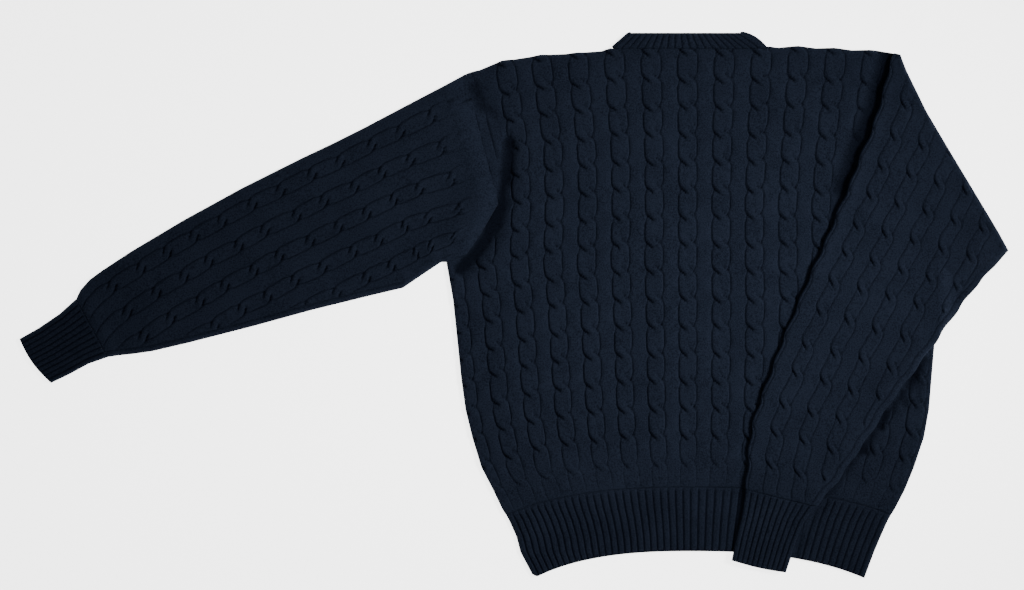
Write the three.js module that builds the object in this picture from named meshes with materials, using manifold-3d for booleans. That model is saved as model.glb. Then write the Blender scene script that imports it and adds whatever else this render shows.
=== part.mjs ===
// A crew-neck cable-knit sweater, laid flat on a table with its back up.
// The left sleeve is stretched out and the right sleeve is folded over onto the back.
// Millimetres, +Z up, the table at z = 0, +Y towards the neck.

import * as THREE from 'three';
import { mergeVertices } from 'three/addons/utils/BufferGeometryUtils.js';
import Module from 'manifold-3d';

// Layers of knit, counted up from the table.
const wall = 2.95;
const gap = 0.3;
const layer = wall + gap;
const backTop = layer + wall;
const foldLift = 8.1;
const armholeClear = 3;
const edgeRound = 5;

// Relief of the knit, above or below the plain face.
const bandLift = 0.6;
const grooveLift = -1.0;
const cableLift = 1.2;
const crossingLift = 1.6;
const ribFace = 5.5;
const ribLift = 0.7;

// Body: half widths are measured from this line, u = -1 and 1 are the side edges.
const centreX = 212.4;
const underarmY = 52.2;
const neckY = 308;
const cablePitchU = 0.137;
const cableHalfU = 0.0389;
const crossingHalfU = 0.027;
const bodyCables = 7;
const crossingPitch = 32.84;
const firstCrossing = 28.8;
const crossings = 16;
const ribsAcross = 52;

const sides = {
  y: [-328, -296, -277, -257, -244, -221, -194, -158, -125, -89, -41, 7, 52, 123, 184, 215, 247, 290],
  left: [26, 9, 4, -5, -13, -24, -38, -49, -57, -62, -67, -72, -80, -76, -79, -86, -94, -104],
  right: [421, 433, 441, 450, 458, 470, 481, 493, 499, 502, 506, 508, 505, 504, 514, 520, 527, 536],
};
const shoulderLine = {
  x: [-100, -61, -34, -12, 35, 85, 115, 122, 300, 320, 396, 443, 456, 540],
  y: [262, 275.4, 284.3, 292.9, 300.2, 304, 307, neckY, neckY, 309, 307.8, 304.2, 300.6, 278],
};
const leftArmhole = {
  y: [52.2, 57, 84.6, 121.8, 134.4, 171, 208, 247, 272, 276],
  x: [-79.8, -57.6, -39.6, -18, -20.4, -30, -39.6, -49.4, -59.2, -61.2],
};
const rightArmhole = {
  y: [52.2, 57, 85, 122, 150, 190, 230, 270, 305],
  x: [505, 484, 464, 443, 442, 443, 447, 450, 452],
};

// Sleeves: one row for each course of knitting, counted in cable crossings from
// the shoulder. Each row runs from the top edge to the underarm edge.
const sleeveCablePitch = 35;
const sleeveCableHalf = 8.5;
const sleeveCrossingHalf = 6;
const leftSleeve = {
  firstCable: 22.8,
  cables: 6,
  course: [0.5, 1, 3, 4, 5, 7, 9, 11, 12, 13],
  topX: [-84, -107, -179, -217, -253, -325, -396, -458, -493, -524],
  topY: [263, 251, 213, 194, 177, 141, 102, 65, 42, 8],
  underX: [-83, -86, -107, -132, -166, -243, -312, -390, -433, -486],
  underY: [52, 52, 38, 21, 13, -6, -25, -45, -55, -62],
};
const leftCuff = {
  topX: [-524, -544, -569, -592],
  topY: [8, -10, -27, -40],
  underX: [-486, -509, -533, -554],
  underY: [-62, -70, -83, -93],
};
const tipCourse = -2.42;
const cornerCourse = 2.55;
const rightSleeve = {
  firstCable: -4.8,
  cables: 6,
  course: [tipCourse, -2, -1, 0, 1, 2, cornerCourse, 3, 4, 5, 6, 7, 8, 9, 10, 11, 12],
  topX: [455, 452, 439, 428, 414, 403, 394, 386, 371, 356, 340, 324, 311, 297, 286, 281, 278],
  topY: [302.5, 287, 250, 212, 175, 140, 122, 104, 71, 38, 0, -38, -73, -109, -144, -182, -220],
  underX: [464, 473, 502, 530, 558, 584, 594, 579, 552, 529, 504, 478, 454, 432, 410, 388, 363],
  underY: [300.5, 281, 232, 183, 134, 88, 66, 49, 19, -12, -47, -82, -114, -148, -180, -212, -241],
};
const rightCuff = {
  topX: [278, 274, 267, 262],
  topY: [-220, -249, -280, -305.5],
  underX: [363, 349, 338, 327],
  underY: [-241, -260, -287, -320],
  lift: [8.1, 7.5, 6.8, 6],
};
const cuffRibs = 11;

// Neckband: a rib strip round the opening, its front half under the back.
const bandSewn = { x: 211.5, y: neckY + 1, halfWidth: 91.5, depth: 77 };
const bandFree = { x: 207, y: 327, halfWidth: 65.4, depth: 76 };
const bandRibs = 20;
const bandFrontSteps = 24;
const bandTurnSteps = 6;

const mix = (a, b, t) => a + (b - a) * t;
const clamp = (value, low, high) => Math.min(Math.max(value, low), high);
const smooth = (t) => clamp(t, 0, 1) ** 2 * (3 - 2 * clamp(t, 0, 1));

function lookUp(xs, ys, x) {
  const last = xs.length - 1;
  let i = 1;
  while (i < last && xs[i] < x) i += 1;
  const t = clamp((x - xs[i - 1]) / (xs[i] - xs[i - 1]), 0, 1);
  return mix(ys[i - 1], ys[i], t);
}

// Joins two chains of points by a strip of triangles, led by their keys.
function strip(lower, upper, faces, flip = false) {
  let i = 0;
  let j = 0;
  while (i < lower.length - 1 || j < upper.length - 1) {
    const upperDone = j === upper.length - 1;
    const stepLower = upperDone || (i < lower.length - 1 && lower[i + 1].key <= upper[j + 1].key);
    const far = stepLower ? lower[i + 1].point : upper[j + 1].point;
    const corners = [lower[i].point, far, upper[j].point];
    faces.push(flip ? corners.reverse() : corners);
    if (stepLower) i += 1;
    else j += 1;
  }
}

function meshOf(name, faces) {
  const positions = faces.flat(2);
  const loose = new THREE.BufferGeometry();
  loose.setAttribute('position', new THREE.Float32BufferAttribute(positions, 3));
  const joined = mergeVertices(loose, 1e-3);
  const index = [];
  const corners = joined.index.array;
  for (let i = 0; i < corners.length; i += 3) {
    const [a, b, c] = corners.slice(i, i + 3);
    if (a !== b && b !== c && c !== a) index.push(a, b, c);
  }
  joined.setIndex(index);
  return named(name, joined);
}

function named(name, geometry) {
  geometry.computeVertexNormals();
  const material = new THREE.MeshStandardMaterial({ color: 0x18222f, roughness: 0.95, metalness: 0 });
  const mesh = new THREE.Mesh(geometry, material);
  mesh.name = name;
  return mesh;
}

// A closed piece of cloth from its rows. Each row has a top and a bottom chain,
// and a tube's rows also have the two chains of its hollow.
function clothFaces(rows) {
  const faces = [];
  const first = rows[0];
  const last = rows[rows.length - 1];
  for (let i = 1; i < rows.length; i += 1) {
    const [from, to] = [rows[i - 1], rows[i]];
    strip(from.top, to.top, faces);
    strip(from.bottom, to.bottom, faces, true);
    strip([from.bottom.at(-1), to.bottom.at(-1)], [from.top.at(-1), to.top.at(-1)], faces);
    strip([from.bottom[0], to.bottom[0]], [from.top[0], to.top[0]], faces, true);
    if (first.innerTop) {
      strip(from.innerTop, to.innerTop, faces, true);
      strip(from.innerBottom, to.innerBottom, faces);
    }
  }
  for (const [row, flip] of [[first, false], [last, true]]) {
    if (row.innerTop) {
      strip(row.innerTop, row.top, faces, flip);
      strip(row.bottom, row.innerBottom, faces, flip);
    } else {
      strip(row.bottom, row.top, faces, flip);
    }
  }
  return faces;
}

// Columns of one cable: both grooves, both crests and the edges of its bands.
function cableColumns(centre, half, crossingHalf, course) {
  const crossing = 1 - 2 * Math.abs(course - Math.round(course));
  const width = mix(half, crossingHalf, crossing);
  const crest = mix(cableLift, crossingLift, crossing);
  const bandEdge = half * 0.2;
  const columns = [];
  for (const side of [-1, 1]) {
    const marks = [
      { nominal: half * 0.5, offset: width * 0.5, lift: crest },
      { nominal: half, offset: width, lift: grooveLift },
      { nominal: half + bandEdge, offset: width + bandEdge, lift: bandLift },
    ];
    for (const mark of marks) {
      const key = centre + side * mark.nominal;
      columns.push({ key, at: centre + side * mark.offset, lift: mark.lift });
    }
  }
  return columns.sort((a, b) => a.key - b.key);
}

function ribColumns(from, to, ribs) {
  const pitch = (to - from) / ribs;
  const columns = [];
  for (let i = 0; i < ribs; i += 1) {
    const start = from + i * pitch;
    columns.push({ key: start, at: start, lift: -ribLift });
    columns.push({ key: start + pitch * 0.25, at: start + pitch * 0.25, lift: ribLift });
    columns.push({ key: start + pitch * 0.75, at: start + pitch * 0.75, lift: ribLift });
  }
  return columns;
}

// How full the cloth is at a distance in from a rounded edge.
const fullness = (inset, round) => Math.sqrt(1 - (1 - clamp(inset / round, 0, 1)) ** 2);

// Body panels and hem ribs.

const sideX = (y, side) => lookUp(sides.y, side < 0 ? sides.left : sides.right, y);
const halfWidth = (y, side) => Math.abs(sideX(y, side) - centreX);
const ribTopY = (u) => -217.8 - 33.6 * Math.abs(u) ** 2.4;
const hemY = (u) => -294.6 - 32.4 * Math.abs(u) ** 2.4;
const shoulderY = (u) => lookUp(shoulderLine.x, shoulderLine.y, centreX + u * (u < 0 ? 313 : 325));

function panelPoint(u, v) {
  const y = mix(ribTopY(u), shoulderY(u), v);
  return [centreX + u * halfWidth(y, u), y];
}

function ribPoint(u, v) {
  const y = mix(hemY(u), ribTopY(u) - gap, v);
  return [centreX + u * halfWidth(y, u), y];
}

function boundaryX(y, side) {
  const armhole = side < 0 ? leftArmhole : rightArmhole;
  return y < underarmY ? sideX(y, side) : lookUp(armhole.y, armhole.x, y);
}

// The value of u at which a row of the panel meets its side edge or armhole.
function rowEnd(v, side) {
  const [edgeX, edgeY] = panelPoint(side, v);
  if ((edgeX - boundaryX(edgeY, side)) * side < 1e-6) return side;
  let inside = 0;
  let outside = side;
  for (let i = 0; i < 40; i += 1) {
    const u = (inside + outside) / 2;
    const [x, y] = panelPoint(u, v);
    if ((x - boundaryX(y, side)) * side < 0) inside = u;
    else outside = u;
  }
  return outside;
}

const bodyHeight = neckY + 217.8;
const underarmV = (underarmY + 251.4) / (262 + 251.4);
const bodyCourses = [-firstCrossing / crossingPitch, -0.5];
for (let n = 0; n < crossings; n += 0.5) bodyCourses.push(n);
const bodyRows = bodyCourses.map((course) => ({
  course,
  v: (firstCrossing + course * crossingPitch) / bodyHeight,
}));
const nearUnderarm = bodyRows.reduce((best, row) =>
  (Math.abs(row.v - underarmV) < Math.abs(best.v - underarmV) ? row : best));
nearUnderarm.v = underarmV;
// One more row just below ends at the side edge, so that the underarm keeps its corner.
const cornerV = underarmV - 0.001;
bodyRows.splice(bodyRows.indexOf(nearUnderarm), 0, { course: nearUnderarm.course, v: cornerV });
bodyRows[bodyRows.length - 1] = { course: crossings - 0.8, v: 1 };

// One row of a flat panel. Its rounded edges meet the other layer's.
function panelRow(place, v, ends, columns, heights) {
  const rounded = ends.rounded;
  const [left, right] = ends.u;
  const half = (side) => halfWidth(place(side * 0.9, v)[1], side);
  const rounds = [edgeRound / half(-1), edgeRound / half(1)];
  const marginOf = (side) => (rounded ? edgeRound + 1 : 2) / half(side);
  const inside = (at) => at > left + marginOf(-1) && at < right - marginOf(1);
  const edges = [];
  if (rounded) {
    for (const part of [0, 0.3, 1]) {
      edges.push({ key: left + rounds[0] * part, at: left + rounds[0] * part, lift: 0 });
      edges.push({ key: right - rounds[1] * part, at: right - rounds[1] * part, lift: 0 });
    }
  } else {
    edges.push({ key: left, at: left, lift: 0 }, { key: right, at: right, lift: 0 });
  }
  const chain = (marks, height) => [...marks.filter((mark) => inside(mark.at)), ...edges]
    .sort((a, b) => a.at - b.at)
    .map((mark) => {
      const fromLeft = fullness(mark.at - left, rounds[0]);
      const fromRight = fullness(right - mark.at, rounds[1]);
      const full = rounded ? Math.min(fromLeft, fromRight) : 1;
      return { key: mark.key, point: [...place(mark.at, v), height(full, mark.lift)] };
    });
  const plain = [];
  const step = ends.atSeam ? 0.05 : 0.2;
  for (let u = -1 + step / 2; u < 1; u += step) plain.push({ key: u, at: u, lift: 0 });
  return {
    top: chain(columns.top ?? plain, heights.top),
    bottom: chain(columns.bottom ?? plain, heights.bottom),
  };
}

const frontHeights = {
  top: () => wall,
  bottom: (full) => wall * (1 - full),
};
const backHeights = (face) => ({
  top: (full, lift) => layer + (face - layer + lift) * full,
  bottom: () => layer,
});

function bodyPanel(isBack) {
  const rows = bodyRows.map(({ course, v }) => {
    const atSeam = v <= 0 || v === 1;
    const ends = { u: [rowEnd(v, -1), rowEnd(v, 1)], rounded: v <= cornerV, atSeam };
    const cables = [];
    for (let k = -bodyCables; k <= bodyCables; k += 1) {
      cables.push(...cableColumns(k * cablePitchU, cableHalfU, crossingHalfU, course));
    }
    const columns = isBack ? { top: cables } : {};
    return panelRow(panelPoint, v, ends, columns, isBack ? backHeights(backTop) : frontHeights);
  });
  return clothFaces(rows);
}

function hemRib(isBack) {
  const ends = { u: [-1, 1], rounded: true, atSeam: true };
  const columns = isBack ? { top: ribColumns(-1, 1, ribsAcross) } : {};
  const heights = isBack ? backHeights(ribFace) : frontHeights;
  const rows = [0, 0.5, 1].map((v) => panelRow(ribPoint, v, ends, columns, heights));
  return clothFaces(rows);
}

// Sleeves and cuffs.

// One row across a sleeve: place(s) gives the plan point at s from its top edge.
function sleeveRow(place, width, columns, floor, ceiling, round, hollow, fallsFrom = Infinity) {
  const inside = (mark) => mark.at > round.top + 1 && mark.at < width - round.under - 1;
  const edges = [0, 0.3, 1].flatMap((part) => [
    { key: round.top * part, at: round.top * part, lift: 0 },
    { key: width - round.under * part, at: width - round.under * part, lift: 0 },
  ]);
  const chain = (marks, height) => [...marks.filter(inside), ...edges]
    .sort((a, b) => a.at - b.at)
    .map((mark) => {
      const plan = place(mark.at);
      const middle = (floor(plan) + ceiling(plan)) / 2;
      const full = Math.min(fullness(mark.at, round.top), fullness(width - mark.at, round.under));
      return { key: mark.key, point: [...plan, mix(middle, height(plan) + mark.lift, full)] };
    });
  const plain = [0.1, 0.3, 0.5, 0.7, 0.9].map((part) => ({ key: width * part, at: width * part, lift: 0 }));
  const row = {
    top: chain(columns.top, ceiling),
    bottom: chain(columns.bottom ?? plain, floor),
  };
  for (const mark of row.bottom) {
    if (mark.key >= fallsFrom) mark.key += 200 - fallsFrom;
  }
  if (hollow) {
    const inner = (height) => [wall, wall + 1, ...plain.map((mark) => mark.at), width - wall - 1, width - wall]
      .map((at, i, all) => {
        const plan = place(at);
        const middle = (floor(plan) + ceiling(plan)) / 2;
        const open = i === 0 || i === all.length - 1 ? 0 : height;
        return { key: at, point: [...plan, middle + open] };
      });
    row.innerTop = inner(gap / 2);
    row.innerBottom = inner(-gap / 2);
  }
  return row;
}

function sleeveEnds(table, course) {
  const at = (column) => lookUp(table.course, table[column], course);
  return { top: [at('topX'), at('topY')], under: [at('underX'), at('underY')] };
}

const planLength = (a, b) => Math.hypot(b[0] - a[0], b[1] - a[1]);
const planMix = (a, b, t) => [mix(a[0], b[0], t), mix(a[1], b[1], t)];

function sleeveCableColumns(table, course, width, plainMargin) {
  const columns = [];
  for (let k = 0; k < table.cables; k += 1) {
    const centre = table.firstCable + k * sleeveCablePitch;
    columns.push(...cableColumns(centre, sleeveCableHalf, sleeveCrossingHalf, course));
  }
  return columns.filter((mark) => mark.at < width - plainMargin);
}

// The left armhole's seam, from the shoulder to the underarm, moved out by the gap.
const seamShift = [-0.45, 0.3];
const seamPoints = bodyRows
  .filter((row) => row.v >= cornerV)
  .map((row) => panelPoint(rowEnd(row.v, -1), row.v))
  .map(([x, y]) => [x + seamShift[0], y + seamShift[1]])
  .reverse();
const seamStations = [0];
for (let i = 1; i < seamPoints.length; i += 1) {
  seamStations.push(seamStations[i - 1] + planLength(seamPoints[i - 1], seamPoints[i]));
}
const seamLength = seamStations.at(-1);
const seamAt = (s) => [0, 1].map((axis) => lookUp(seamStations, seamPoints.map((p) => p[axis]), s));

// How far the seam bows away from its chord; the first courses follow it.
function seamBow(part) {
  const chord = planMix(seamPoints[0], seamPoints.at(-1), part);
  const seam = seamAt(part * seamLength);
  return [seam[0] - chord[0], seam[1] - chord[1]];
}

const lyingFloor = () => 0;
const lyingCeiling = () => backTop;
const ribCeiling = () => ribFace;
const softRound = { top: edgeRound, under: edgeRound };

function leftSleeveFaces() {
  const first = sleeveRow(
    seamAt,
    seamLength,
    { top: seamStations.slice(1, -1).map((s) => ({ key: s, at: s, lift: bandLift })) },
    lyingFloor,
    lyingCeiling,
    softRound,
    true,
  );
  const courses = [0.5];
  for (let n = 1; n <= 13; n += 0.5) courses.push(n);
  const rows = courses.map((course) => {
    const { top, under } = sleeveEnds(leftSleeve, course);
    const width = planLength(top, under);
    const bow = Math.max(0, 1 - course / 3) ** 1.5;
    const place = (s) => {
      const part = s / width;
      const [x, y] = planMix(top, under, part);
      const [bowX, bowY] = seamBow(part);
      return [x + bow * bowX, y + bow * bowY];
    };
    const columns = { top: sleeveCableColumns(leftSleeve, course, width, 8) };
    return sleeveRow(place, width, columns, lyingFloor, lyingCeiling, softRound, true);
  });
  return clothFaces([first, ...rows].reverse());
}

function cuffFaces(table, floorOf, ceilingOf) {
  const last = table.topX.length - 1;
  const rows = table.topX.map((_, i) => {
    let top = [table.topX[i], table.topY[i]];
    let under = [table.underX[i], table.underY[i]];
    if (i === 0) {
      const slip = (0.4 + gap) / planLength(top, [table.topX[1], table.topY[1]]);
      top = planMix(top, [table.topX[1], table.topY[1]], slip);
      under = planMix(under, [table.underX[1], table.underY[1]], slip);
    }
    const width = planLength(top, under);
    const place = (s) => planMix(top, under, s / width);
    const columns = { top: ribColumns(0, width, cuffRibs) };
    for (const [j, mark] of columns.top.entries()) mark.key = (j / columns.top.length) * width;
    return sleeveRow(place, width, columns, floorOf(i), ceilingOf(i), softRound, i >= 0 && i <= last);
  });
  return rows;
}

const leftCuffRows = cuffFaces(leftCuff, () => lyingFloor, () => ribCeiling);
const rightCuffRows = cuffFaces(
  rightCuff,
  (i) => () => rightCuff.lift[i],
  (i) => () => rightCuff.lift[i] + ribFace,
);

// The folded sleeve rests on the back, and beyond it on its own hidden part,
// which fills the space down to the table as far as the fold.
function overhang(plan) {
  return Math.max(0, plan[0] - boundaryX(plan[1], 1) - armholeClear);
}

function unsupported(plan) {
  const hiddenEdge = (underarmY - plan[1] + 0.157 * (plan[0] - 505)) * 0.988;
  return Math.min(overhang(plan), Math.max(0, hiddenEdge));
}

const foldedFloor = (plan) => foldLift * (1 - smooth(overhang(plan) / 16));
const foldedCeiling = (plan) => backTop + foldLift * (1 - smooth(unsupported(plan) / 24));

function rightSleeveFaces() {
  const courses = [tipCourse];
  for (let n = -2; n <= 12; n += 0.5) courses.push(n === 2.5 ? cornerCourse : n);
  const rows = courses.map((course) => {
    const { top, under } = sleeveEnds(rightSleeve, course);
    const width = planLength(top, under);
    const place = (s) => planMix(top, under, s / width);
    const folded = course <= cornerCourse;
    const columns = { top: sleeveCableColumns(rightSleeve, course, width, folded ? 8 : 16) };
    const round = {
      top: Math.min(edgeRound, width * 0.3),
      under: Math.min(folded ? 7 : edgeRound, width * 0.4),
    };
    let step = 0;
    while (step < width && overhang(place(step)) <= 0) step += 1;
    if (step < width) {
      const falls = [0, 4, 8, 12, 16, 30, 50, 70, 90].map((fall) => step + fall);
      columns.bottom = [step * 0.5, ...falls].map((at) => ({ key: at, at, lift: 0 }));
    }
    return sleeveRow(place, width, columns, foldedFloor, foldedCeiling, round, false, step);
  });
  return clothFaces(rows.reverse());
}

// Neckband: a closed loop of sections, each turned about its own edge line.
// turn is 0 on the table side, 90 degrees at a neck point and 180 on the back.
function bandSection(sewn, free, turn, lift) {
  const along = new THREE.Vector3(free[0] - sewn[0], free[1] - sewn[1], 0);
  const outward = new THREE.Vector3(-along.y, along.x, 0).normalize();
  if (outward.x * (sewn[0] - bandSewn.x) < 0) outward.negate();
  const face = new THREE.Vector3(0, 0, -Math.cos(turn)).addScaledVector(outward, Math.sin(turn));
  const tip = along.clone().normalize();
  const middle = (wall + layer) / 2;
  const at = (edge, depth, reach) => new THREE.Vector3(edge[0], edge[1], middle)
    .addScaledVector(face, depth)
    .addScaledVector(tip, reach);
  const inner = gap / 2;
  const outer = middle;
  return [
    at(sewn, inner, 0),
    at(sewn, outer + lift, 0),
    at(planMix(sewn, free, 0.85), outer + lift, 0),
    at(free, (inner + outer) / 2, 0),
    at(planMix(sewn, free, 0.9), inner, 0),
  ].map((corner) => corner.toArray());
}

function frontBandEdges(angle) {
  const widen = Math.sin(2 * angle) ** 2;
  const sewn = [
    bandSewn.x + bandSewn.halfWidth * Math.cos(angle),
    bandSewn.y - bandSewn.depth * Math.sin(angle),
  ];
  const free = [
    bandFree.x + bandFree.halfWidth * Math.cos(angle) * (1 + 0.13 * widen),
    bandFree.y - bandFree.depth * Math.sin(angle) * (1 + 0.1 * widen),
  ];
  return [sewn, free];
}

function neckbandFaces() {
  const sections = [];
  for (let i = 0; i <= bandFrontSteps; i += 1) {
    const [sewn, free] = frontBandEdges((Math.PI * i) / bandFrontSteps);
    sections.push(bandSection(sewn, free, 0, 0));
  }
  const [leftSewn, leftFree] = frontBandEdges(Math.PI);
  const [rightSewn, rightFree] = frontBandEdges(0);
  for (let i = 1; i < bandTurnSteps; i += 1) {
    sections.push(bandSection(leftSewn, leftFree, (Math.PI * i) / bandTurnSteps, 0));
  }
  const ribSteps = bandRibs * 3;
  for (let i = 0; i <= ribSteps; i += 1) {
    const sewn = planMix(leftSewn, rightSewn, i / ribSteps);
    const free = planMix(leftFree, rightFree, i / ribSteps);
    sections.push(bandSection(sewn, free, Math.PI, i % 3 === 0 ? -ribLift : 0));
  }
  for (let i = 1; i < bandTurnSteps; i += 1) {
    sections.push(bandSection(rightSewn, rightFree, Math.PI - (Math.PI * i) / bandTurnSteps, 0));
  }
  const chains = sections.map((section) => [...section, section[0]]
    .map((point, key) => ({ key, point })));
  const faces = [];
  for (const [i, chain] of chains.entries()) {
    strip(chain, chains[(i + 1) % chains.length], faces, true);
  }
  return faces;
}

const wasm = await Module();
wasm.setup();

function toSolid(geometry) {
  const bare = geometry.clone();
  bare.deleteAttribute('normal');
  bare.deleteAttribute('uv');
  const joined = bare.index ? bare : mergeVertices(bare, 1e-4);
  const vertProperties = new Float32Array(joined.attributes.position.array);
  const triVerts = new Uint32Array(joined.index.array);
  return new wasm.Manifold(new wasm.Mesh({ numProp: 3, vertProperties, triVerts }));
}

function fromSolid(name, solid) {
  const { vertProperties, triVerts } = solid.getMesh();
  const geometry = new THREE.BufferGeometry();
  geometry.setAttribute('position', new THREE.BufferAttribute(vertProperties, 3));
  geometry.setIndex(new THREE.BufferAttribute(triVerts, 1));
  return named(name, geometry);
}

// The front's scooped neckline, cut as an upright prism just outside the band.
function scoopGeometry() {
  const outline = new THREE.Shape();
  const clear = bandSewn.halfWidth + gap;
  outline.moveTo(bandSewn.x + clear, neckY + 30);
  for (let i = 0; i <= bandFrontSteps; i += 1) {
    const angle = (Math.PI * i) / bandFrontSteps;
    const depth = (bandSewn.depth + gap + 0.2) * Math.sin(angle);
    outline.lineTo(bandSewn.x + (clear + 0.2) * Math.cos(angle), bandSewn.y - depth);
  }
  outline.lineTo(bandSewn.x - clear, neckY + 30);
  const prism = new THREE.ExtrudeGeometry(outline, { depth: 20, bevelEnabled: false });
  prism.translate(0, 0, -10);
  return prism;
}

const frontBlank = meshOf('front_blank', bodyPanel(false));
const frontSolid = toSolid(frontBlank.geometry).subtract(toSolid(scoopGeometry()));

const sweater = new THREE.Group();
sweater.add(
  fromSolid('front_panel', frontSolid),
  meshOf('back_panel', bodyPanel(true)),
  meshOf('hem_rib_front', hemRib(false)),
  meshOf('hem_rib_back', hemRib(true)),
  meshOf('sleeve_left', leftSleeveFaces()),
  meshOf('cuff_left', clothFaces(leftCuffRows.reverse())),
  meshOf('sleeve_right', rightSleeveFaces()),
  meshOf('cuff_right', clothFaces(rightCuffRows.reverse())),
  meshOf('neckband', neckbandFaces()),
);

export default sweater;
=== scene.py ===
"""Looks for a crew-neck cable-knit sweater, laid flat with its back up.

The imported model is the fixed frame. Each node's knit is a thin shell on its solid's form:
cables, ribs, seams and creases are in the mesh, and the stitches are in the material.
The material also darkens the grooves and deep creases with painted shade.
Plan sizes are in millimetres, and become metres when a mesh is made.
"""

import bmesh
import bpy
import numpy as np
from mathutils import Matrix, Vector


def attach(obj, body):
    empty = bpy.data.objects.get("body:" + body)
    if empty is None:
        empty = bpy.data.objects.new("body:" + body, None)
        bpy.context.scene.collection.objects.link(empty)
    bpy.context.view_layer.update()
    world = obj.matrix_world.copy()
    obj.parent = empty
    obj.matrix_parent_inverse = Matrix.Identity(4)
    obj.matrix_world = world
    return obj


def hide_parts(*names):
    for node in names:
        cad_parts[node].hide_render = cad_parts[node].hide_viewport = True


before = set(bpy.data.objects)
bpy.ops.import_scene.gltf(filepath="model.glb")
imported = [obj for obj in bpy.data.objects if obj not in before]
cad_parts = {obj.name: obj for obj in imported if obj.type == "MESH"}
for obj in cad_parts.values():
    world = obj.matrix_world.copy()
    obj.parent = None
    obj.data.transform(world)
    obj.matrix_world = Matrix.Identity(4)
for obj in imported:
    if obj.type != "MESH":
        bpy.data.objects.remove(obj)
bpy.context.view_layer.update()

METRES = 0.001
coarser = 1.0

# Layers of knit, counted up from the table.
WALL = 2.95
GAP = 0.3
LAYER = WALL + GAP
BACK_TOP = LAYER + WALL
FOLD_LIFT = 8.1
TIP_DROOP = 3.2
ARMHOLE_CLEAR = 2.0
HIDDEN_SLOPE = 9.0
EDGE_ROUND = 6.0

# Relief of the cables and ribs.
BAND_LIFT = 0.5
CABLE_LIFT = 1.1
STRAND_LIFT = 1.2
DIVE_DEPTH = 0.8
GROOVE_WIDTH = 0.85
RIB_FACE = 5.6
RIB_LIFT = 0.75

# Depths of the grooves beside a cable and of the two creases at each of its crossings.
BODY_GROOVES = {"groove": 1.5, "creases": (3.3, 1.6)}
LEFT_GROOVES = {"groove": 1.5, "creases": (3.4, 1.2)}
FOLDED_GROOVES = {"groove": 1.3, "creases": (2.6, 1.3)}

# Body: half widths are measured from this line, u = -1 and 1 are the side edges.
CENTRE_X = 212.4
CHEST_HALF = 292.0
HEM_HALF = 245.0
SHOULDER_REACH = {"left": 313.0, "right": 325.0}
NECK_Y = 308.0
SHOULDER_END_Y = 262.0
UNDERARM_Y = 52.2

# The top of the rib and the edge of the hem are curves that drop towards the sides.
RIB_TOP = {"middle": -217.8, "drop": 33.6}
HEM_EDGE = {"middle": -294.6, "drop": 32.4}
HEM_CURVE = 2.4
HEM_CORNER = {"width": 0.035, "rise": 5.0}

# Height of the panel at its middle, and the parts of the height at which its sides end.
BODY_HEIGHT = NECK_Y - RIB_TOP["middle"]
SIDE_BOTTOM = RIB_TOP["middle"] - RIB_TOP["drop"]
UNDERARM_V = (UNDERARM_Y - SIDE_BOTTOM) / (SHOULDER_END_Y - SIDE_BOTTOM)
CORNER_V = UNDERARM_V - 0.001

BODY_CABLES = 15
OUTERMOST = BODY_CABLES // 2
CABLE_PITCH_U = 0.137
CABLE_SHIFT_U = 0.0115
LEFT_STRETCH = 1.009
CABLE_HALF = 11.1
CROSSING_PITCH = 32.84
FIRST_CROSSING = 29.8
RIBS_ACROSS = 52
PLAIN_STRIP = 12.0
SEAM_CLEAR = 0.15
SEAM_SLANT = 0.2

SIDES = {
    "y": [
        -328, -296, -277, -257, -244, -221, -194, -158, -125,
        -89, -41, 7, 52, 123, 184, 215, 247, 290,
    ],
    "left": [
        26, 9, 4, -5, -13, -24, -38, -49, -57,
        -62, -67, -72, -80, -76, -79, -86, -94, -104,
    ],
    "right": [
        421, 433, 441, 450, 458, 470, 481, 493, 499,
        502, 506, 508, 505, 504, 514, 520, 527, 536,
    ],
}
SHOULDER_LINE = {
    "x": [
        -100, -61, -34, -12, 35, 85, 106, 118.5, 120.5,
        302, 304, 320, 343, 396, 443, 459, 466, 540,
    ],
    "y": [
        262, 275.4, 284.3, 292.9, 300.2, 303.2, 305, 309, NECK_Y,
        NECK_Y, 311, 310.4, 310.6, 307.8, 305.0, 303.8, 299, 278,
    ],
}
LEFT_ARMHOLE = {
    "y": [52.2, 60.5, 84.6, 121.8, 134.4, 171, 208, 247, 272, 276],
    "x": [-79.8, -56.5, -39.6, -18, -20.4, -30, -39.6, -49.4, -59.2, -61.2],
}
RIGHT_ARMHOLE = {
    "y": [52.2, 57, 85, 122, 150, 190, 230, 270, 288, 305],
    "x": [505, 484, 464, 443, 442, 443, 447, 450, 456, 462],
}

# Sleeves: rows are courses of knitting, counted in cable crossings from the shoulder.
# Each row runs from the top edge to the underarm edge.
SLEEVE_CABLE_PITCH = 35.0
SLEEVE_CABLE_HALF = 8.5
SLEEVE_CROSSING_PITCH = 38.5
LEFT_START = 0.42
LEFT_SLEEVE = {
    "first": 22.8,
    "course": [0.5, 1, 3, 4, 5, 7, 9, 11, 12, 12.4, 12.75, 13],
    "top_x": [-84, -107, -179, -217, -253, -325, -396, -458, -493, -508, -519, -524],
    "top_y": [263, 251, 213, 194, 177, 141, 102, 65, 42, 31, 18.5, 8],
    "under_x": [-83, -86, -107, -132, -166, -243, -312, -390, -433, -454, -473, -486],
    "under_y": [52, 52, 38, 21, 13, -6, -25, -45, -55, -58, -60, -62],
}
LEFT_CUFF = {
    "course": [0, 1, 2, 3],
    "top_x": [-524, -544, -569, -592],
    "top_y": [8, -10, -27, -40],
    "under_x": [-486, -509, -533, -554],
    "under_y": [-62, -70, -83, -93],
    "lift": [0, 0, 0, 0],
    "bow": 4.0,
}
TIP_COURSE = -2.42
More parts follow.
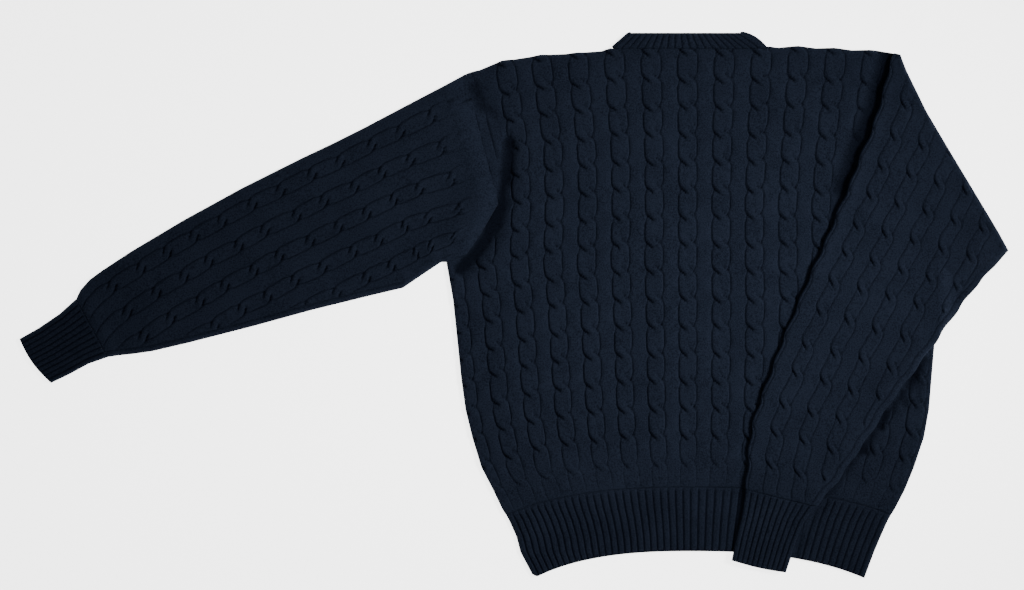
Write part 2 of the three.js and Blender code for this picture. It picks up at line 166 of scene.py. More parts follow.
CORNER_COURSE = 2.55
RIGHT_SLEEVE = {
    "first": -4.8,
    "course": [
        TIP_COURSE, -2, -1, 0, 1, 2, CORNER_COURSE, 3,
        4, 5, 6, 7, 8, 9, 10, 11, 12,
    ],
    "top_x": [
        457, 451, 441.5, 430, 414, 401, 392, 385,
        371, 356, 340, 324, 311, 297, 286, 281, 278,
    ],
    "top_y": [
        302.5, 287, 250, 212, 175, 140, 122, 104,
        71, 38, 0, -38, -73, -109, -144, -182, -220,
    ],
    "under_x": [
        464.5, 472, 496, 525, 554.5, 582, 594, 579,
        552, 529, 504, 478, 454, 432, 410, 388, 363,
    ],
    "under_y": [
        300.5, 281, 232, 183, 134, 88, 66, 49,
        19, -12, -47, -82, -114, -148, -180, -212, -241,
    ],
}
# The folded sleeve's cloth hangs free past a line from the underarm to its corner.
HIDDEN_EDGE = {"x": 505.0, "slope": 0.157, "squareness": 0.988}
RIGHT_CUFF = {
    "course": [0, 1, 2, 3],
    "top_x": [278, 274, 267, 262],
    "top_y": [-220, -249, -280, -305.5],
    "under_x": [363, 349, 338, 327],
    "under_y": [-241, -260, -287, -320],
    "lift": [8.1, 7.5, 6.8, 6.0],
    "bow": 1.6,
}
CUFF_COURSES = 3
CUFF_RIBS = 11

# The ways in which the seams at the cuffs lean, square to the cuffs.
LEFT_LEAN = (0.87, 0.5)
RIGHT_LEAN = (0.26, 0.97)

# Neckband: its back half shows above the back, its front half lies under the back.
BAND_SEWN = {"x": 211.5, "y": NECK_Y + 0.3, "half_width": 91.5, "depth": 77.0}
BAND_FREE = {"x": 207.0, "y": 327.0, "half_width": 65.4, "depth": 76.0}
BAND_RIBS = 20
BAND_FRONT_RIBS = 34
BAND_END = {"bulge": 3.0, "width": 9.0}
SCOOP_HALF = BAND_SEWN["half_width"] + GAP
# The band's section: how far each point is from the sewn edge to the free edge, and how far
# from the under face to the outer face.
BAND_PROFILE = [
    (0.0, 0.86), (0.1, 0.98), (0.3, 1.0), (0.5, 1.0), (0.7, 1.0),
    (0.84, 0.97), (0.93, 0.85), (0.98, 0.66), (1.0, 0.5), (0.98, 0.3),
    (0.92, 0.1), (0.8, 0.0), (0.5, 0.0), (0.2, 0.0), (0.0, 0.0),
]

# The knit's stitches. The map of a piece counts in these many millimetres.
STITCH_WIDTH = 2.6
STITCH_HEIGHT = 2.0
MAP_UNIT = 100

# The studio. The photograph looks straight down on a frame of this width at the table.
FRAME_WIDTH = 1.2288
CAMERA_HEIGHT = 6.0
CAMERA_AIM = (-0.0012, 0.0126)
SENSOR_WIDTH = 36.0
FLOOR_REACH = 6.0
FLOOR_LEVEL = -0.0004
FLOOR_GLOW = 3.6
STUDIO_LIGHT = 0.33

# Folds of the body and the left sleeve: where each runs, how high it stands (or how deep
# it lies) and how wide it is on the left and on the right of its run.
# Where a fold lies more than 0.9 mm low, the material also darkens it with painted shade, the deeper
# the darker.
BODY_FOLDS = [
    # A dimple at the top of the armhole, and the shoulder's slope.
    {"path": [(-46, 262), (-38, 240), (-20, 228)], "height": -2.8, "widths": (12, 13)},
    {"path": [(-70, 236), (-52, 215), (-44, 190)], "height": 1.6, "widths": (16, 12)},
    {"path": [(-20, 214), (20, 222), (60, 214)], "height": 0.9, "widths": (16, 18)},
    # Wrinkles that fan out from the underarm.
    {"path": [(-26, 120), (-56, 106), (-92, 98)], "height": -1.0, "widths": (3.0, 3.6)},
    {"path": [(-34, 104), (-60, 90), (-90, 82)], "height": -0.9, "widths": (2.6, 3.2)},
    {"path": [(-52, 82), (-72, 72), (-92, 66)], "height": -0.8, "widths": (2.6, 3.0)},
    {"path": [(-84, 62), (-104, 56), (-124, 42)], "height": -1.1, "widths": (3.2, 3.6)},
    # The sleeve's underarm edge.
    {
        "path": [(-118, 40), (-150, 30), (-190, 20), (-240, 8)],
        "height": -0.9,
        "widths": (3.0, 3.4),
    },
    {"path": [(-140, 44), (-200, 26), (-260, 10)], "height": 0.9, "widths": (9, 9)},
    # The left sleeve, bloused over its cuff.
    {"path": [(-516, 10), (-496, -24), (-482, -56)], "height": 1.8, "widths": (9, 16)},
    {"path": [(-470, 44), (-440, 10), (-420, -30)], "height": 0.7, "widths": (18, 20)},
    {
        "path": [(-552, -84), (-528, -73), (-508, -63), (-486, -55)],
        "height": -1.3,
        "widths": (2.4, 2.6),
    },
    # Slow waves in the body.
    {"path": [(60, 262), (180, 256), (330, 262)], "height": 0.8, "widths": (22, 26)},
    {"path": [(20, 60), (70, 20), (110, -60)], "height": 0.7, "widths": (24, 26)},
    {"path": [(150, 150), (190, 40), (200, -80)], "height": 0.6, "widths": (26, 30)},
    {"path": [(-30, -20), (-10, -80), (20, -150)], "height": 0.8, "widths": (20, 22)},
    {"path": [(60, -190), (180, -176), (300, -190)], "height": 1.2, "widths": (15, 22)},
    {"path": [(-10, -214), (30, -206), (80, -200)], "height": 0.9, "widths": (12, 16)},
    # The body beside and under the folded sleeve.
    {"path": [(450, 300), (432, 240), (412, 190), (394, 140)], "height": -3.6, "widths": (15, 16)},
    {"path": [(392, 120), (372, 60), (344, -10)], "height": -1.2, "widths": (8, 8)},
    {"path": [(492, -66), (467, -106), (443, -137), (419, -171)], "height": -2.9, "widths": (7, 6)},
    {"path": [(419, -171), (391, -208), (368, -236)], "height": -2.5, "widths": (7, 6)},
    {"path": [(368, -236), (353, -262), (342, -288), (336, -308)], "height": -2.3, "widths": (7, 6)},
    {"path": [(467, -104), (472, -121)], "height": -2.4, "widths": (3.0, 3.0)},
    {"path": [(446, -128), (442, -147)], "height": -2.2, "widths": (3.6, 3.4)},
    {"path": [(419, -169), (425, -178)], "height": -2.2, "widths": (3.0, 3.0)},
    {"path": [(484, -74), (485, -92), (484, -110)], "height": -1.5, "widths": (5, 8)},
    {"path": [(474, -134), (486, -150), (484, -176)], "height": 1.2, "widths": (9, 10)},
]
# The left sleeve's cloth bulges over the underarm, and the body lies in a deep crease there.
UNDERARM_BULGE = [
    {"path": [(-92, 66), (-70, 84), (-50, 108), (-38, 140)], "height": 4.6, "widths": (20, 17)},
    {"path": [(-96, 52), (-112, 44), (-130, 34)], "height": 1.2, "widths": (9, 7)},
]
# The cloth in the deep crease gets strong painted shade.
UNDERARM_CREASE = [
    {"path": [(-3, 196), (-7, 151), (-12, 121), (-20, 98)], "height": -5.0, "widths": (6.5, 10)},
    {"path": [(-20, 98), (-33, 77), (-50, 56), (-62, 44)], "height": -4.6, "widths": (9, 11)},
    {"path": [(14, 190), (10, 130), (0, 90), (-24, 50)], "height": 1.4, "widths": (12, 14)},
]
SLEEVE_FOLDS = [
    # The folded sleeve's rolled left edge, and the hollow inside it.
    {"path": [(446, 262), (420, 190), (394, 118), (360, 40)], "height": 1.6, "widths": (9, 9)},
    {"path": [(462, 262), (440, 196), (416, 128), (384, 50)], "height": -0.8, "widths": (8, 9)},
    # The corner and the fold edge.
    {"path": [(480, 262), (520, 190), (560, 118), (580, 78)], "height": -0.8, "widths": (12, 12)},
    {"path": [(586, 60), (560, 36), (530, 6)], "height": -0.9, "widths": (9, 10)},
    {"path": [(556, 64), (530, 40), (506, 10)], "height": 0.9, "widths": (12, 12)},
    # The underarm edge, and the blousing over the cuff.
    {"path": [(486, -50), (452, -98), (414, -152), (376, -206)], "height": 0.9, "widths": (9, 10)},
    {"path": [(284, -196), (320, -206), (356, -218)], "height": 1.3, "widths": (12, 16)},
    {"path": [(300, -100), (330, -120), (366, -130)], "height": 0.6, "widths": (20, 22)},
]


def mix(a, b, t):
    return a + (b - a) * t


def smooth(t):
    t = np.clip(t, 0, 1)
    return t * t * (3 - 2 * t)


def bell(distance, width):
    return np.exp(-((distance / width) ** 2))


def fullness(inset, width):
    """How full the cloth is at a distance in from a rounded edge."""
    return np.sqrt(1 - (1 - np.clip(inset / width, 0, 1)) ** 2)


def to_path(x, y, points):
    """Distance to a line of straight runs, and the side that it lies on."""
    best = np.full(x.shape, 1e9)
    side = np.zeros(x.shape)
    for (ax, ay), (bx, by) in zip(points, points[1:]):
        dx, dy = bx - ax, by - ay
        t = np.clip(((x - ax) * dx + (y - ay) * dy) / (dx * dx + dy * dy), 0, 1)
        distance = np.hypot(x - ax - t * dx, y - ay - t * dy)
        nearer = distance < best
        best = np.where(nearer, distance, best)
        side = np.where(nearer, np.sign(dx * (y - ay) - dy * (x - ax)), side)
    return best, side


def folds_height(x, y, folds):
    total = np.zeros(x.shape)
    for fold in folds:
        distance, side = to_path(x, y, fold["path"])
        left, right = fold["widths"]
        total += fold["height"] * bell(distance, np.where(side > 0, left, right))
    return total


def unevenness(x, y):
    """Slow, shallow waves that no cloth is without."""
    return (
        0.22 * np.sin(x / 23.0 + 1.3 * np.sin(y / 61.0))
        + 0.20 * np.sin(y / 19.0 + 1.1 * np.sin(x / 47.0))
        + 0.12 * np.sin((x + y) / 11.0 + 0.7 * np.sin((x - y) / 29.0))
    )


def waver(index, step, amount):
    """A small fixed offset for each cable crossing, so that no two are the same."""
    return amount * np.sin(12.9898 * index + 78.233 * step + 3.7 * np.sin(4.1 * index))


def strand_edge(along, half):
    """The lower left edge of the strand that crosses over, as an offset from the middle."""
    return half * (0.97 * smooth((11 - along) / 19) ** 2.2 - 1)


def groove_at(offset, line, along, half):
    """How near a point is to a groove, measured square to the groove."""
    step = 0.4
    slope = (line(along + step, half) - line(along - step, half)) / (2 * step)
    return bell((offset - line(along, half)) / np.hypot(1, slope), GROOVE_WIDTH)


def lower_start(along, half):
    """The left groove of the link below a crossing, which starts under the strand."""
    return half * (0.25 * smooth((along + 11) / 11) - 1)


def cable_relief(offset, along, half, depths):
    """Height of a two-strand cable and of the band beside it.

    offset is the distance from the cable's middle and along the distance from its nearest
    crossing. There the upper strand crosses from -offset, +along to +offset, -along, and
    the cable looks the same after half a turn.
    """
    crown = CABLE_LIFT * (1 - 0.5 * (np.abs(offset) / half) ** 4)
    lift = np.where(np.abs(offset) < half, crown, BAND_LIFT)
    turned = ((offset, along), (-offset, -along))
    strand = bell(along, 6.5)
    for a, b in turned:
        strand = strand * smooth((a - strand_edge(b, half)) / 3.2)
    lift = lift + STRAND_LIFT * strand
    grooves = np.zeros(offset.shape)
    for (a, b), crease in zip(turned, depths["creases"]):
        below = np.clip(strand_edge(b, half) - a, 0, None)
        under = bell(below, 4.5) * (below > 0) * smooth((b + 8) / 4) * smooth((3 - b) / 4)
        lift = lift - DIVE_DEPTH * under * (np.abs(offset) < half)
        upper = groove_at(a, strand_edge, b, half) * smooth((b + 7.6) / 2.6)
        deep = mix(depths["groove"], crease, bell(b + 1.5, 4.0))
        lower = groove_at(a, lower_start, b, half) * smooth((2.2 - b) / 2.2)
        grooves = np.maximum(grooves, np.maximum(upper * deep, lower * depths["groove"]))
    return lift - grooves


def painted_shade_of(relief, folds=0.0):
    """How much painted shade a point gets, from 0 to 1: more the further it lies down in a groove or
    a crease.
    """
    groove_shade = smooth((0.2 - np.asarray(relief)) / 1.7)
    crease_shade = 0.85 * smooth((-0.9 - folds) / 3.2)
    return np.maximum(groove_shade, crease_shade)


def rib_relief(phase):
    """Height of a two-by-one rib. Its groove is at every whole number."""
    from_groove = np.abs(phase - np.round(phase))
    return RIB_LIFT * (1 - 2.3 * bell(from_groove, 0.13) - 0.25 * (2 * from_groove - 1) ** 2)


# Meshes.


def grid_quads(numbers, flip=False):
    a, b = numbers[:-1, :-1], numbers[:-1, 1:]
    c, d = numbers[1:, 1:], numbers[1:, :-1]
    quads = np.stack([a, b, c, d], axis=-1).reshape(-1, 4)
    return quads[:, ::-1].tolist() if flip else quads.tolist()


def zip_chains(lower, lower_keys, upper, upper_keys, flip=False):
    """Triangles between two chains of vertices, led by their keys."""
    faces = []
    i, j = 0, 0
    while i < len(lower) - 1 or j < len(upper) - 1:
        upper_done = j == len(upper) - 1
        lower_left = i < len(lower) - 1
        lower_first = lower_left and (upper_done or lower_keys[i + 1] <= upper_keys[j + 1])
        far = lower[i + 1] if lower_first else upper[j + 1]
        face = (int(lower[i]), int(far), int(upper[j]))
        faces.append(face[::-1] if flip else face)
        if lower_first:
            i += 1
        else:
            j += 1
    return faces


def slant(z):
    """Seams lean over by this much, so that no light shows through them from above."""
    return SEAM_SLANT * np.clip(BACK_TOP - z, 0, None)


class Cloth:
    """A closed piece of knit, gathered from grids of points that share their rows."""

    def __init__(self, name):
        self.name = name
        self.points, self.maps, self.hollows, self.faces = [], [], [], []
        self.count = 0
        self.cut_faces = []

    def grid(self, points, across, along, hollow=0.0):
        """Adds a grid's points, with their place in the knit, and returns their numbers.

        hollow says how deep in a groove or a crease each point is, from 0 to 1, which is how much
        painted shade its colour gets.
        """
        rows, columns = points.shape[:2]
        numbers = self.count + np.arange(rows * columns).reshape(rows, columns)
        self.points.append(points.reshape(-1, 3))
        self.maps.append(np.stack([across, along], axis=-1).reshape(-1, 2) / MAP_UNIT)
        self.hollows.append(np.broadcast_to(hollow, (rows, columns)).ravel())
        self.count += rows * columns
        return numbers

    def surface(self, numbers, flip=False):
        self.faces += grid_quads(numbers, flip)

    def wall(self, lower, upper, flip=False):
        """Joins two edges with the same number of points."""
        self.faces += grid_quads(np.stack([lower, upper]), flip)

    def end(self, lower, lower_keys, upper, upper_keys, flip=False):
        """Closes an edge at which the knit is sewn or bound off."""
        closing = zip_chains(lower, lower_keys, upper, upper_keys, flip)
        self.cut_faces += range(len(self.faces), len(self.faces) + len(closing))
        self.faces += closing

    def shell(self, upper, lower, upper_keys, lower_keys):
        """Adds an outer and an under face, and joins them all round."""
        top = self.grid(*upper)
        bottom = self.grid(*lower)
        self.surface(top)
        self.surface(bottom, flip=True)
        for column in (0, -1):
            self.wall(bottom[:, column], top[:, column])
        for row in (0, -1):
            self.end(bottom[row], lower_keys[row], top[row], upper_keys[row])

    def make(self, slot):
        """Makes the mesh and its object, which stands for the node of the same name."""
        mesh = bpy.data.meshes.new(self.name)
        points = np.concatenate(self.points) * METRES
        mesh.from_pydata(points.tolist(), [], self.faces)
        corners = np.empty(len(mesh.loops), dtype=np.int32)
        mesh.loops.foreach_get("vertex_index", corners)
        knit = mesh.uv_layers.new(name="knit")
        knit.data.foreach_set("uv", np.concatenate(self.maps)[corners].ravel())
        # Flat shading of the cut faces keeps them from darkening the seam beside them.
        rounded = np.ones(len(self.faces), dtype=bool)
        rounded[self.cut_faces] = False
        mesh.polygons.foreach_set("use_smooth", rounded)
        # The hollow attribute carries the amount of painted shade to the material.
        hollow = mesh.attributes.new("hollow", "FLOAT", "POINT")
        hollow.data.foreach_set("value", np.concatenate(self.hollows))
        work = bmesh.new()
        work.from_mesh(mesh)
        bmesh.ops.remove_doubles(work, verts=work.verts, dist=1e-6)
        bmesh.ops.dissolve_degenerate(work, edges=work.edges, dist=1e-7)
        bmesh.ops.recalc_face_normals(work, faces=work.faces)
        work.to_mesh(mesh)
        work.free()
        piece = bpy.data.objects.new(f"{self.name}_knit", mesh)
        bpy.context.collection.objects.link(piece)
        mesh.materials.append(MATERIALS[slot])
        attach(piece, "root")
        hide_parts(self.name)
        return piece


def plan_area(x, y):
    """Flat area of a grid of plan points, in square metres."""
    ax, ay = x[1:, 1:] - x[:-1, :-1], y[1:, 1:] - y[:-1, :-1]
    bx, by = x[1:, :-1] - x[:-1, 1:], y[1:, :-1] - y[:-1, 1:]
    return float(np.abs(ax * by - ay * bx).sum() / 2 * METRES**2)


# The knit's material.


def knit_material(name, dark, light):
    """Heathered wool with knitted stitches, with painted shade in its grooves and creases."""
    material = bpy.data.materials.new(name)
    material.use_nodes = True
    nodes, links = material.node_tree.nodes, material.node_tree.links
    nodes.clear()

    def node(kind, **settings):
        made = nodes.new(kind)
        for key, value in settings.items():
            setattr(made, key, value)
        return made

    def value_of(operation, *inputs):
        made = node("ShaderNodeMath", operation=operation)
        for i, given in enumerate(inputs):
            if isinstance(given, (int, float)):
                made.inputs[i].default_value = given
            else:
                links.new(given, made.inputs[i])
        return made.outputs[0]

    def noise(scale, detail, vector):
        made = node("ShaderNodeTexNoise")
        made.inputs["Scale"].default_value = scale
        made.inputs["Detail"].default_value = detail
        links.new(vector, made.inputs["Vector"])
        return made.outputs["Fac"]

    knit = node("ShaderNodeUVMap", uv_map="knit")
    split = node("ShaderNodeSeparateXYZ")
    links.new(knit.outputs["UV"], split.inputs[0])
    place = node("ShaderNodeTexCoord").outputs["Object"]

    # Each stitch is a V: two slanting legs in a wale.
    across = value_of("MULTIPLY", split.outputs["X"], MAP_UNIT / STITCH_WIDTH)
    along = value_of("MULTIPLY", split.outputs["Y"], MAP_UNIT / STITCH_HEIGHT)
    from_middle = value_of("ABSOLUTE", value_of("SUBTRACT", value_of("FRACT", across), 0.5))
    leg = value_of("SINE", value_of("MULTIPLY", from_middle, 2 * np.pi))
    slanting = value_of("ADD", along, value_of("MULTIPLY", from_middle, 1.3))
    loop = value_of("SINE", value_of("MULTIPLY", slanting, 2 * np.pi))
    stitch = value_of("ADD", leg, value_of("MULTIPLY", loop, 0.45))
    fuzz = noise(900.0, 3.0, place)
    height = value_of("ADD", value_of("MULTIPLY", stitch, 0.5), value_of("MULTIPLY", fuzz, 2.2))

    heather = noise(620.0, 2.0, place)
    patches = noise(28.0, 2.0, place)
    blend = value_of(
        "ADD",
        value_of("MULTIPLY", heather, 1.25),
        value_of("ADD", value_of("MULTIPLY", patches, 0.3), value_of("MULTIPLY", leg, 0.12)),
    )
    ramp = node("ShaderNodeValToRGB")
    ramp.color_ramp.elements[0].position = 0.5
    ramp.color_ramp.elements[0].color = (*dark, 1)
    ramp.color_ramp.elements[1].position = 1.0
    ramp.color_ramp.elements[1].color = (*light, 1)
    links.new(blend, ramp.inputs["Fac"])

    # Painted shade: the colour is multiplied down towards dark grey where the hollow attribute marks
    # grooves and creases, standing in for the little light that comes back out of them.
    hollow = node("ShaderNodeAttribute", attribute_name="hollow")
    shaded = node("ShaderNodeMix", data_type="RGBA", blend_type="MULTIPLY")
    links.new(hollow.outputs["Fac"], shaded.inputs["Factor"])
    links.new(ramp.outputs["Color"], shaded.inputs["A"])
    shaded.inputs["B"].default_value = (0.22, 0.22, 0.25, 1)

    bump = node("ShaderNodeBump")
    bump.inputs["Strength"].default_value = 0.55
    bump.inputs["Distance"].default_value = 0.0007
    links.new(height, bump.inputs["Height"])

    shader = node("ShaderNodeBsdfPrincipled")
    links.new(shaded.outputs["Result"], shader.inputs["Base Color"])
    links.new(bump.outputs["Normal"], shader.inputs["Normal"])
    shader.inputs["Roughness"].default_value = 0.95
    shader.inputs["Specular IOR Level"].default_value = 0.02
    shader.inputs["Sheen Weight"].default_value = 0.01
    shader.inputs["Sheen Roughness"].default_value = 0.6
    shader.inputs["Sheen Tint"].default_value = (0.45, 0.6, 1.0, 1.0)
    output = node("ShaderNodeOutputMaterial")
    links.new(shader.outputs[0], output.inputs["Surface"])
    return material


MATERIALS = {
    "wool": knit_material(
        "wool", dark=(0.0032, 0.0046, 0.0088), light=(0.0120, 0.0163, 0.0285)
    ),
    # The ribbed pieces are the same yarn, set a little darker as painted shade for their many
    # grooves.
    "wool_rib": knit_material(
        "wool_rib", dark=(0.0030, 0.0043, 0.0083), light=(0.0112, 0.0152, 0.0268)
    ),
}


# The body's panels and hem ribs.


def side_x(y, side):
    return np.interp(y, SIDES["y"], SIDES["left"] if side < 0 else SIDES["right"])


def half_width(y, u):
    left = CENTRE_X - side_x(y, -1)
    right = side_x(y, 1) - CENTRE_X
    return np.where(u < 0, left, right)


def rib_top_y(u):
    return RIB_TOP["middle"] - RIB_TOP["drop"] * np.abs(u) ** HEM_CURVE


def hem_y(u):
    """The hem's edge, rounded off at its left corner."""
    width = HEM_CORNER["width"]
    corner = HEM_CORNER["rise"] * np.clip((-u - 1 + width) / width, 0, 1) ** 2
    return HEM_EDGE["middle"] - HEM_EDGE["drop"] * np.abs(u) ** HEM_CURVE + corner


def knit_place(u):
    """Where a value of u lies in the knit, whose middle cable is a little to the left."""
    return np.where(u < 0, u / LEFT_STRETCH, u) + CABLE_SHIFT_U


def beside_band(x, start):
    """0 over the neckband and 1 along the shoulders, changing from start outwards."""
    return smooth((np.abs(x - BAND_SEWN["x"]) - start) / 12)


def shoulder_y(u):
    """The shoulder's edge, which rises a little over each cable."""
    reach = np.where(u < 0, SHOULDER_REACH["left"], SHOULDER_REACH["right"])
    x = CENTRE_X + u * reach
    bumps = 0.9 * np.cos(2 * np.pi * knit_place(u) / CABLE_PITCH_U) * beside_band(x, 92)
    return np.interp(x, SHOULDER_LINE["x"], SHOULDER_LINE["y"]) + bumps


def front_top_y(u, x):
    """Top of the front: the shoulders, and the scooped neckline between them."""
    part = np.clip(np.abs(x - BAND_SEWN["x"]) / SCOOP_HALF, 0, 1)
    scoop = BAND_SEWN["y"] - (BAND_SEWN["depth"] + 0.5) * np.sqrt(1 - part**2)
    return np.minimum(shoulder_y(u), np.where(part < 1, scoop, np.inf))


def panel_point(u, v):
    y = mix(rib_top_y(u), shoulder_y(u), v)
    return CENTRE_X + u * half_width(y, u), y


def boundary_x(y, side):
    armhole = LEFT_ARMHOLE if side < 0 else RIGHT_ARMHOLE
    return np.where(y < UNDERARM_Y, side_x(y, side), np.interp(y, armhole["y"], armhole["x"]))


def row_ends(v, side):
    """The values of u at which rows of the panel meet the side edge or the armhole."""
    edge_x, edge_y = panel_point(np.full_like(v, side), v)
    at_edge = (edge_x - boundary_x(edge_y, side)) * side < 1e-6
    inside = np.zeros_like(v)
    outside = np.full_like(v, side)
    for _ in range(40):
        u = (inside + outside) / 2
        x, y = panel_point(u, v)
        within = (x - boundary_x(y, side)) * side < 0
        inside = np.where(within, u, inside)
        outside = np.where(within, outside, u)
    return np.where(at_edge, side, outside)


def body_columns(step):
    """Values of u for the panel's columns, closest together where the grooves run."""
    inner, outer = CABLE_HALF - 2.4, CABLE_HALF + 1.6
    rim = np.linspace(inner, outer, int(4 / step) + 2)
    middle = np.linspace(-inner, inner, int(2 * inner / (1.4 * step)) + 1)[1:-1]
    band_middle = CABLE_PITCH_U * CHEST_HALF / 2
    band = np.array([band_middle - 3.4, band_middle])
    pattern = np.concatenate([-rim, middle, rim, band]) / CHEST_HALF
    cables = np.arange(-OUTERMOST, OUTERMOST + 1) * CABLE_PITCH_U
    columns = (cables[:, None] + pattern[None, :]).ravel() - CABLE_SHIFT_U
    columns = np.where(columns < 0, columns * LEFT_STRETCH, columns)
    edge = 1 - (1 - np.cos(np.linspace(0, np.pi / 2, 9))) * 0.026
    return np.unique(np.concatenate([columns[np.abs(columns) < 0.972], edge, -edge]).round(6))


def body_relief(x, y, u, v):
    """The cables of a body panel, and the plain strip beside each armhole."""
    across = knit_place(u)
    index = np.clip(np.round(across / CABLE_PITCH_U), -OUTERMOST, OUTERMOST)
    offset = (across - index * CABLE_PITCH_U) * CHEST_HALF
    course = (v * BODY_HEIGHT - FIRST_CROSSING) / CROSSING_PITCH
    step = np.round(course)
    along = (course - step) * CROSSING_PITCH + waver(index, step, 0.9)
    offset = offset + waver(index + 3, step, 0.35) * bell(along, 12)
    relief = cable_relief(offset, along, CABLE_HALF, BODY_GROOVES)
    # The outermost cable ends at the underarm, and the next one runs out above it.
    outermost = (np.abs(index) == OUTERMOST) * smooth((y - UNDERARM_Y - 4) / 8)
    beside_it = (np.abs(index) == OUTERMOST - 1) * smooth((y - 108) / 10)
    relief = mix(relief, BAND_LIFT, np.maximum(outermost, beside_it))
    # The cables are pulled flatter above the hem, and end level with the ribs.
    above_rib = y - rib_top_y(u)
    relief = BAND_LIFT + (relief - BAND_LIFT) * mix(0.4, 1, smooth((above_rib - 8) / 60))
    relief = relief * smooth(above_rib / 5)
    for side in (-1, 1):
        inward = (boundary_x(y, side) - x) * side
        above = smooth((y - UNDERARM_Y - 2) / 6)
        strip = above * (1 - smooth((inward - PLAIN_STRIP + 2) / 2))
        line = above * bell(inward - PLAIN_STRIP, 1.0)
        relief = mix(relief, BAND_LIFT, strip) - 1.3 * line
    return relief


def body_rows(spacing):
    """Rows up the panel, with one at the underarm and at each corner of the armhole."""
    even = np.linspace(0, 1, int(BODY_HEIGHT / spacing) + 1)
    closely = np.linspace(UNDERARM_V, 1, 2000)
    edge_y = panel_point(row_ends(closely, -1), closely)[1]
    for corner_y in LEFT_ARMHOLE["y"][1:5]:
        corner_v = np.interp(corner_y, edge_y, closely)
        even[np.argmin(np.abs(even - corner_v))] = corner_v
    nearest = np.argmin(np.abs(even - UNDERARM_V))
    even[nearest] = UNDERARM_V
    return np.insert(even, nearest, CORNER_V)


def panel_edges(x, y, v, side_round):
    """Distance in from the rounded side edge, where the row has one."""
    rounded = v <= CORNER_V
    left = fullness(x - boundary_x(y, -1), side_round)
    right = fullness(boundary_x(y, 1) - x, side_round)
    return np.where(rounded, np.minimum(left, right), 1.0)


def body_panel(name, is_back, column_step, row_step):
    """The front or back panel, cut to the armholes, the neckline and the shoulders."""
    cloth = Cloth(name)
    v = body_rows(row_step * coarser)[:, None]
    ends = [row_ends(v[:, 0], side)[:, None] for side in (-1, 1)]
    fine = np.clip(body_columns(column_step * coarser)[None, :], *ends)
    plain = np.clip(np.linspace(-1, 1, 31)[None, :], *ends)

    def place(u):
        rows = np.broadcast_to(v, u.shape)
        x, y = panel_point(u, rows)
        if not is_back:
            y = mix(rib_top_y(u), front_top_y(u, x), rows)
        return x, y, rows

    def finished(u, height):
        x, y, rows = place(u)
        full = panel_edges(x, y, rows, EDGE_ROUND)
        z, relief = height(x, y, u, rows, full)
        # Grooves and deep creases get painted shade in the material.
        folds = folds_height(x, y, BODY_FOLDS + UNDERARM_CREASE) if is_back else 0.0
        hollow = painted_shade_of(relief, folds)
        lean = slant(z)
        x[:, 0] += np.where(rows[:, 0] >= CORNER_V, lean[:, 0], 0)
        y[0] += lean[0]
        if is_back:
            y[-1] -= lean[-1]
        return np.stack([x, y, z], axis=-1), u * CHEST_HALF, y, hollow

    def back_top(x, y, u, rows, full):
        relief = body_relief(x, y, u, rows)
        below_top = shoulder_y(u) - y
        at_band = 1 - 0.12 * bell(below_top, 2.0)
        top_edge = mix(at_band, fullness(below_top, 11.0), beside_band(x, 84))
        lift = relief + folds_height(x, y, BODY_FOLDS + UNDERARM_CREASE) + unevenness(x, y)
        height = BACK_TOP - LAYER + lift
        return LAYER + np.maximum(height * full * mix(0.35, 1, top_edge), 0.25 * full), relief

    def back_bottom(x, y, u, rows, full):
        lift = np.maximum(folds_height(x, y, BODY_FOLDS), 0)
        return LAYER + lift * full * 0.85, BAND_LIFT

    def front_top(x, y, u, rows, full):
        return np.full(x.shape, WALL), BAND_LIFT

    def front_bottom(x, y, u, rows, full):
        relief = body_relief(x, y, u, rows)
        return WALL * (1 - full) + np.maximum(0, 0.3 - relief) * 0.5 * full, relief

    if is_back:
        cloth.shell(finished(fine, back_top), finished(plain, back_bottom), fine, plain)
    else:
        cloth.shell(finished(plain, front_top), finished(fine, front_bottom), plain, fine)
    piece = cloth.make("wool")
    x, y, _ = place(plain)
    return piece


